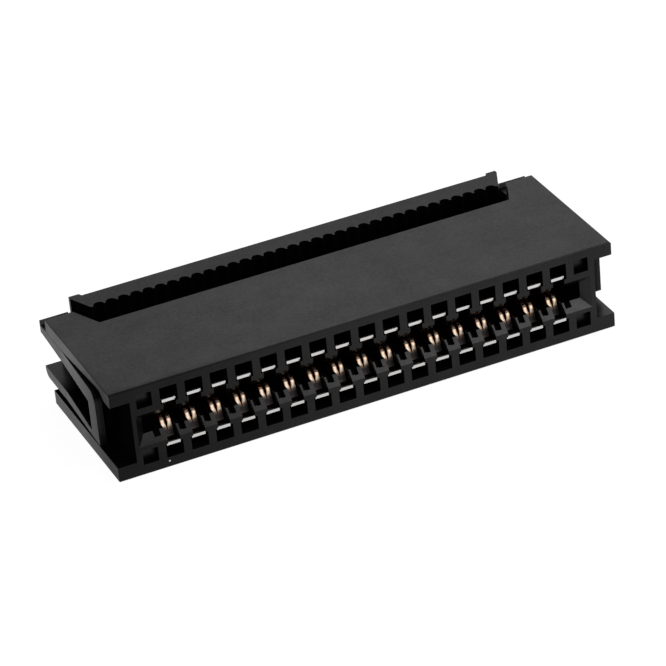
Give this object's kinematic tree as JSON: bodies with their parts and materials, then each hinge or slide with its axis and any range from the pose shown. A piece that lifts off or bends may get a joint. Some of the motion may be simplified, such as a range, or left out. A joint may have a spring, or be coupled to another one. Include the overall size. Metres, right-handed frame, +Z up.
{
  "type": "card edge connector",
  "caption": "Black ribbon-cable card edge connector: long housing with an open card slot, sprung contacts in rows, and a grooved press-on cable cover standing open at the back.",
  "frame": {"origin": "middle of the card slot's mouth, in the plane of the housing's front face and halfway up the housing", "axes": "+X along the slot, +Y from the front face to the cable side at the back, +Z up"},
  "size_m": [0.053, 0.0181, 0.0101],
  "materials": {
    "housing_plastic": "satin moulded black plastic, lightly grained",
    "cover_plastic": "satin moulded black plastic, lightly grained",
    "contact_metal": "stamped copper alloy strip, bright at the plated contact area"
  },
  "bodies": {
    "housing": {"housing": "housing_plastic", "upper_contact_01": "contact_metal", "upper_contact_02": "contact_metal", "upper_contact_03": "contact_metal", "upper_contact_04": "contact_metal", "upper_contact_05": "contact_metal", "upper_contact_06": "contact_metal", "upper_contact_07": "contact_metal", "upper_contact_08": "contact_metal", "upper_contact_09": "contact_metal", "upper_contact_10": "contact_metal", "upper_contact_11": "contact_metal", "upper_contact_12": "contact_metal", "upper_contact_13": "contact_metal", "upper_contact_14": "contact_metal", "upper_contact_15": "contact_metal", "upper_contact_16": "contact_metal", "upper_contact_17": "contact_metal", "lower_contact_01": "contact_metal", "lower_contact_02": "contact_metal", "lower_contact_03": "contact_metal", "lower_contact_04": "contact_metal", "lower_contact_05": "contact_metal", "lower_contact_06": "contact_metal", "lower_contact_07": "contact_metal", "lower_contact_08": "contact_metal", "lower_contact_09": "contact_metal", "lower_contact_10": "contact_metal", "lower_contact_11": "contact_metal", "lower_contact_12": "contact_metal", "lower_contact_13": "contact_metal", "lower_contact_14": "contact_metal", "lower_contact_15": "contact_metal", "lower_contact_16": "contact_metal", "lower_contact_17": "contact_metal"},
    "cover": {"cover": "cover_plastic"}
  },
  "joints": [
    {"name": "cover_press", "type": "slide", "parent": "housing", "child": "cover", "axis": [0, -1, 0], "range_m": [0, 0.0016]}
  ]
}
